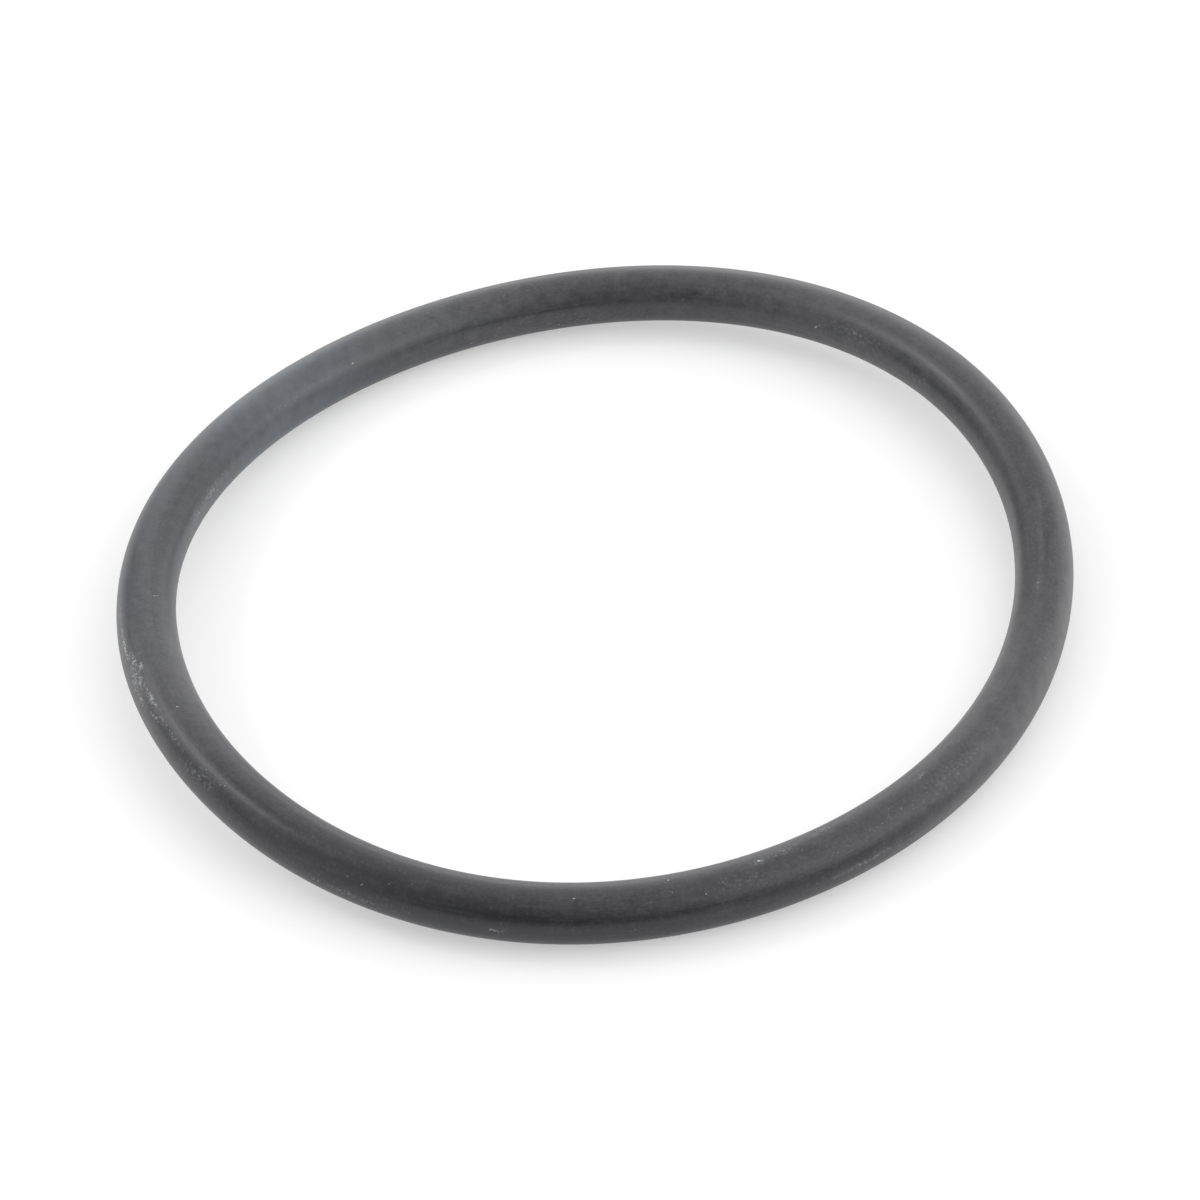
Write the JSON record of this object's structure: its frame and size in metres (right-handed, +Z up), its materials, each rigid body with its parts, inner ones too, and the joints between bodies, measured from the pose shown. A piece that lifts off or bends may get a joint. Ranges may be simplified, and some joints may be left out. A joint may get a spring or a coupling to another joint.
{
  "type": "rubber o-ring",
  "caption": "Rubber sealing ring of round section, lying free with a slight saddle warp; it seals a shaft or bore when pressed into a groove.",
  "frame": {"origin": "on the surface that the ring lies on, under the middle of the ring", "axes": "+Z up, square to the surface and along the ring's axis; +X and +Y in the surface, with the ring's front towards -Y"},
  "size_m": [0.082, 0.082, 0.0078],
  "materials": {
    "ring_rubber": "matt moulded black rubber with a faint bluish bloom, a thin parting line, fine scuffs and dust"
  },
  "bodies": {
    "root": {"o_ring": "ring_rubber"}
  },
  "joints": []
}
